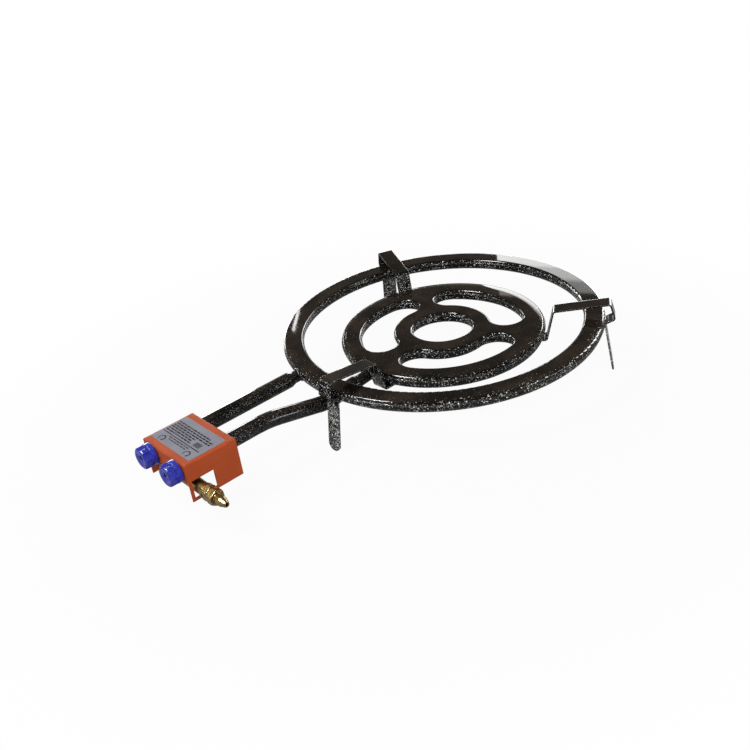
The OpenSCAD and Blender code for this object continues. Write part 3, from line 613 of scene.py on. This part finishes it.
def grid():
    """A block of small squares."""
    places = [(GRID_CORNER[0] + GRID_STEP * i, GRID_CORNER[1] + GRID_STEP * j)
              for i in range(GRID_COUNT[0]) for j in range(GRID_COUNT[1])]
    return [(x, y, x + GRID_SQUARE, y + GRID_SQUARE) for x, y in places]


def make_label():
    """Foil plate on the box top: plain dashes in rows, a grid of squares and a turn mark above each knob."""
    low = BOX_HIGH.z
    top = low + LABEL_THICK * MM
    ink = top + INK_THICK * MM

    def at(x, y):
        return BOX_LOW.x + x * MM, BOX_LOW.y + y * MM

    bm = bmesh.new()
    slab(bm, rounded_rect(*at(*LABEL[:2]), *at(*LABEL[2:]), LABEL_ROUND * MM), low, top)
    piece("label_plate", from_bmesh("label_plate", bm, False), plate_look("foil_plate"))
    bm = bmesh.new()
    for x0, y0, x1, y1 in [RULE] + dashes() + grid():
        slab(bm, [at(x0, y0), at(x1, y0), at(x1, y1), at(x0, y1)], top, ink)
    for place in TURN_MARKS:
        turn_mark(bm, at(*place), top, ink)
    piece("label_print", from_bmesh("label_print", bm, False), ink_look("printed_ink"))


# Weld beads
def arc(radius, along):
    """Height of a circle's edge over a point along its radius."""
    return math.sqrt(max(radius ** 2 - along ** 2, 0))


def wall_radius(shell, z):
    """Outside radius of a shell at a height from the ring's top."""
    shoulder = shell.top - SHOULDER
    if z > shoulder:
        return shell.wall - SHOULDER + arc(SHOULDER, z - shoulder)
    if z > shell.wall_end:
        return shell.wall
    return shell.wall - shell.low_round + arc(shell.low_round, z - shell.wall_end)


def underside(shell, radius):
    """Height of a shell's rounded underside at a radius."""
    return shell.wall_end - arc(shell.low_round, max(radius - shell.wall + shell.low_round, 0))


def bead(name, path, size, closed=False, around=12):
    """A run of weld metal: a lumpy tube along points in millimetres from the ring's centre and top."""
    points = [RING + Vector(q) * MM for q in path]
    last = len(points) - 1
    bm = bmesh.new()
    rows = []
    for i, q in enumerate(points):
        before = points[i - 1] if i or closed else q
        after = points[(i + 1) % len(points)] if i < last or closed else q
        way = (after - before).normalized()
        u = way.cross(NO_BEAD_WAY).normalized()
        v = way.cross(u)
        end = 1.0 if closed else min(math.sqrt(min(i, last - i) / last * BEAD_TAPER), 1.0)
        ripple = 1 + sum(share * math.sin(i * rate + start) for share, rate, start in RIPPLES)
        r = max(size * ripple * end, BEAD_LEAST) * MM
        turns = [k * math.tau / around for k in range(around)]
        rows.append([bm.verts.new(q + (u * math.cos(a) + v * math.sin(a)) * r) for a in turns])
    for a, b in zip(rows, rows[1:] + rows[:1] if closed else rows[1:]):
        for k in range(around):
            j = (k + 1) % around
            bm.faces.new((a[k], a[j], b[j], b[k]))
    if not closed:
        bm.faces.new(list(reversed(rows[0])))
        bm.faces.new(rows[-1])
    piece(name, from_bmesh(name, bm), LOOKS["enamel"])


def tube_weld(name, x, z, radius, shell, steps=72):
    """Bead round a tube where it goes into a wall."""
    path = []
    for i in range(steps):
        px, pz = on_circle((x, z), radius, 360 * i / steps)
        path.append((px, -arc(wall_radius(shell, pz), px) - TUBE_GAP, pz))
    bead(name, path, TUBE_BEAD, closed=True)


def along_run(run):
    """Even steps from one end of a run to the other."""
    start, end = run.ends
    return [start + (end - start) * i / (run.steps - 1) for i in range(run.steps)]


def strip_welds(name, turn, shift):
    """Beads on both edges of a strip: down the ring's wall and along its hook under the inner burner."""
    a = math.radians(turn)
    out = Vector((math.cos(a), math.sin(a), 0))
    side = Vector((-math.sin(a), math.cos(a), 0))

    def at(along, across, z):
        return out * along + side * across + Vector((0, 0, z))

    for tag, sign in (("a", 1), ("b", -1)):
        across = shift + sign * RING_RUN.edge
        path = []
        for z in along_run(RING_RUN):
            along = arc(wall_radius(RING_SHELL, z) + RING_RUN.gap, across)
            path.append(at(along, across, z))
        bead(f"weld_ring_{name}_{tag}", path, STRIP_BEAD)
        across = shift + sign * HOOK_RUN.edge
        path = []
        for along in along_run(HOOK_RUN):
            z = underside(BURNER_SHELL, math.hypot(along, across)) - HOOK_RUN.gap
            path.append(at(along, across, z))
        bead(f"weld_hook_{name}_{tag}", path, STRIP_BEAD)


def make_welds():
    for name, weld in TUBE_WELDS.items():
        tube_weld(name, *weld)
    for name, strip in STRIPS.items():
        strip_welds(name, *strip)


# Camera and stage
def set_camera():
    """The photo's own camera: it looks past the ring's centre, which lies at its pixel of the photo."""
    az, el, roll = (math.radians(a) for a in (VIEW_TURN, VIEW_RISE, VIEW_ROLL))
    back = Vector((math.sin(az) * math.cos(el), -math.cos(az) * math.cos(el), math.sin(el)))
    side = (-back).cross(Vector((0, 0, 1))).normalized()
    up = side.cross(-back)
    right = side * math.cos(roll) + up * math.sin(roll)
    above = -side * math.sin(roll) + up * math.cos(roll)
    across, down = ((p - PHOTO / 2) / FOCAL * VIEW_REACH for p in RING_PIXEL)
    data = bpy.data.cameras.new("camera")
    data.sensor_width = SENSOR
    data.lens = FOCAL * SENSOR / PHOTO
    camera = bpy.data.objects.new("camera", data)
    bpy.context.scene.collection.objects.link(camera)
    place = Matrix((right, above, back)).transposed().to_4x4()
    place.translation = RING + back * VIEW_REACH - right * across + above * down
    camera.matrix_world = place
    bpy.context.scene.camera = camera


def area_light(name, place, aim, size, power, roll=0.0):
    data = bpy.data.lights.new(name, "AREA")
    data.shape = "RECTANGLE"
    data.size, data.size_y = size
    data.energy = power
    obj = bpy.data.objects.new(name, data)
    bpy.context.scene.collection.objects.link(obj)
    obj.location = place
    obj.visible_camera = False
    turn = (aim - place).to_track_quat("-Z", "Y") @ Quaternion((0, 0, 1), math.radians(roll))
    obj.rotation_euler = turn.to_euler()
    return obj


def lamp_light(name, lamp):
    """A lamp aimed at the middle of the part."""
    return area_light(name, MIDDLE + lamp.way * lamp.reach, MIDDLE, lamp.size, lamp.power)


def panel_light(name, panel):
    """A standing panel that only gloss shows."""
    a = math.radians(panel.turn)
    out = Vector((-math.sin(a), math.cos(a), 0))
    along = Vector((math.cos(a), math.sin(a), 0))
    middle = Vector((RING.x, RING.y, (panel.low + panel.high) / 2))
    place = middle + out * PANEL_REACH + along * (panel.left + panel.right) / 2
    wide = panel.right - panel.left
    tall = panel.high - panel.low
    power = math.pi * wide * tall * panel.level
    light = area_light(name, place, place - out, (wide, tall), power, panel.roll)
    light.visible_diffuse = False


def link(tree, *pairs):
    for a, b in pairs:
        tree.links.new(a, b)


def range_node(tree, ends, to_ends=(0.0, 1.0)):
    n = tree.nodes.new("ShaderNodeMapRange")
    n.interpolation_type = "SMOOTHSTEP"
    for key, value in zip(("From Min", "From Max", "To Min", "To Max"), (*ends, *to_ends)):
        n.inputs[key].default_value = value
    return n


def math_node(tree, operation):
    n = tree.nodes.new("ShaderNodeMath")
    n.operation = operation
    return n


def mix_node(tree, a=WHITE, b=WHITE):
    n = tree.nodes.new("ShaderNodeMix")
    n.data_type = "RGBA"
    n.inputs["A"].default_value = a
    n.inputs["B"].default_value = b
    return n


def set_world(scene):
    """White to the camera, and to gloss near the horizon; a dim ceiling above; plain ambient light."""
    world = bpy.data.worlds.new("studio")
    scene.world = world
    world.use_nodes = True
    tree = world.node_tree
    path = tree.nodes.new("ShaderNodeLightPath")
    where = tree.nodes.new("ShaderNodeTexCoord")
    axis = tree.nodes.new("ShaderNodeSeparateXYZ")
    rise = range_node(tree, CEILING_RISE)
    shine = math_node(tree, "MAXIMUM")
    ceiling = mix_node(tree, b=CEILING)
    ambient = mix_node(tree, a=AMBIENT)
    seen = mix_node(tree)
    link(
        tree,
        (where.outputs["Generated"], axis.inputs["Vector"]),
        (axis.outputs["Z"], rise.inputs["Value"]),
        (rise.outputs["Result"], ceiling.inputs["Factor"]),
        (path.outputs["Is Glossy Ray"], shine.inputs[0]),
        (path.outputs["Is Transmission Ray"], shine.inputs[1]),
        (shine.outputs["Value"], ambient.inputs["Factor"]),
        (ceiling.outputs["Result"], ambient.inputs["B"]),
        (path.outputs["Is Camera Ray"], seen.inputs["Factor"]),
        (ambient.outputs["Result"], seen.inputs["A"]),
        (seen.outputs["Result"], tree.nodes["Background"].inputs["Color"]),
    )


def floor_look():
    """White to the camera with a soft shadow near the part, clear from below, plain and pale to the rest."""
    mat = bpy.data.materials.new("floor")
    mat.use_nodes = True
    tree = mat.node_tree
    shade = tree.nodes["Principled BSDF"]
    shade.inputs["Base Color"].default_value = FLOOR_COLOUR
    shade.inputs["Roughness"].default_value = 0.9
    shade.inputs["Specular IOR Level"].default_value = 0.1
    glow = tree.nodes.new("ShaderNodeEmission")
    glow.inputs["Color"].default_value = WHITE
    path = tree.nodes.new("ShaderNodeLightPath")
    where = tree.nodes.new("ShaderNodeTexCoord")
    reach = tree.nodes.new("ShaderNodeVectorMath")
    reach.operation = "LENGTH"
    fade = range_node(tree, FLOOR_FADE, FLOOR_GLOW)
    share = math_node(tree, "MULTIPLY")
    white = tree.nodes.new("ShaderNodeMixShader")
    side = tree.nodes.new("ShaderNodeNewGeometry")
    below = math_node(tree, "MULTIPLY")
    clear = tree.nodes.new("ShaderNodeBsdfTransparent")
    cut = tree.nodes.new("ShaderNodeMixShader")
    link(
        tree,
        (where.outputs["Object"], reach.inputs[0]),
        (reach.outputs["Value"], fade.inputs["Value"]),
        (fade.outputs["Result"], share.inputs[1]),
        (path.outputs["Is Camera Ray"], share.inputs[0]),
        (share.outputs["Value"], white.inputs["Fac"]),
        (shade.outputs["BSDF"], white.inputs[1]),
        (glow.outputs["Emission"], white.inputs[2]),
        (side.outputs["Backfacing"], below.inputs[0]),
        (path.outputs["Is Camera Ray"], below.inputs[1]),
        (below.outputs["Value"], cut.inputs["Fac"]),
        (white.outputs["Shader"], cut.inputs[1]),
        (clear.outputs["BSDF"], cut.inputs[2]),
        (cut.outputs["Shader"], tree.nodes["Material Output"].inputs["Surface"]),
    )
    return mat


def make_floor(scene):
    bm = bmesh.new()
    bmesh.ops.create_circle(bm, cap_ends=True, radius=FLOOR_RADIUS, segments=96)
    floor = bpy.data.objects.new("floor", from_bmesh("floor", bm))
    scene.collection.objects.link(floor)
    floor.data.materials.append(floor_look())


def set_stage():
    scene = bpy.context.scene
    scene.view_settings.view_transform = "Standard"
    set_world(scene)
    make_floor(scene)
    lamp_light("key", KEY)
    lamp_light("fill", FILL).visible_glossy = False
    lamp_light("key_shine", KEY_SHINE).visible_diffuse = False
    for name, panel in PANELS.items():
        panel_light(name, panel)


dress_nodes()
set_camera()
set_stage()
make_label()
make_welds()
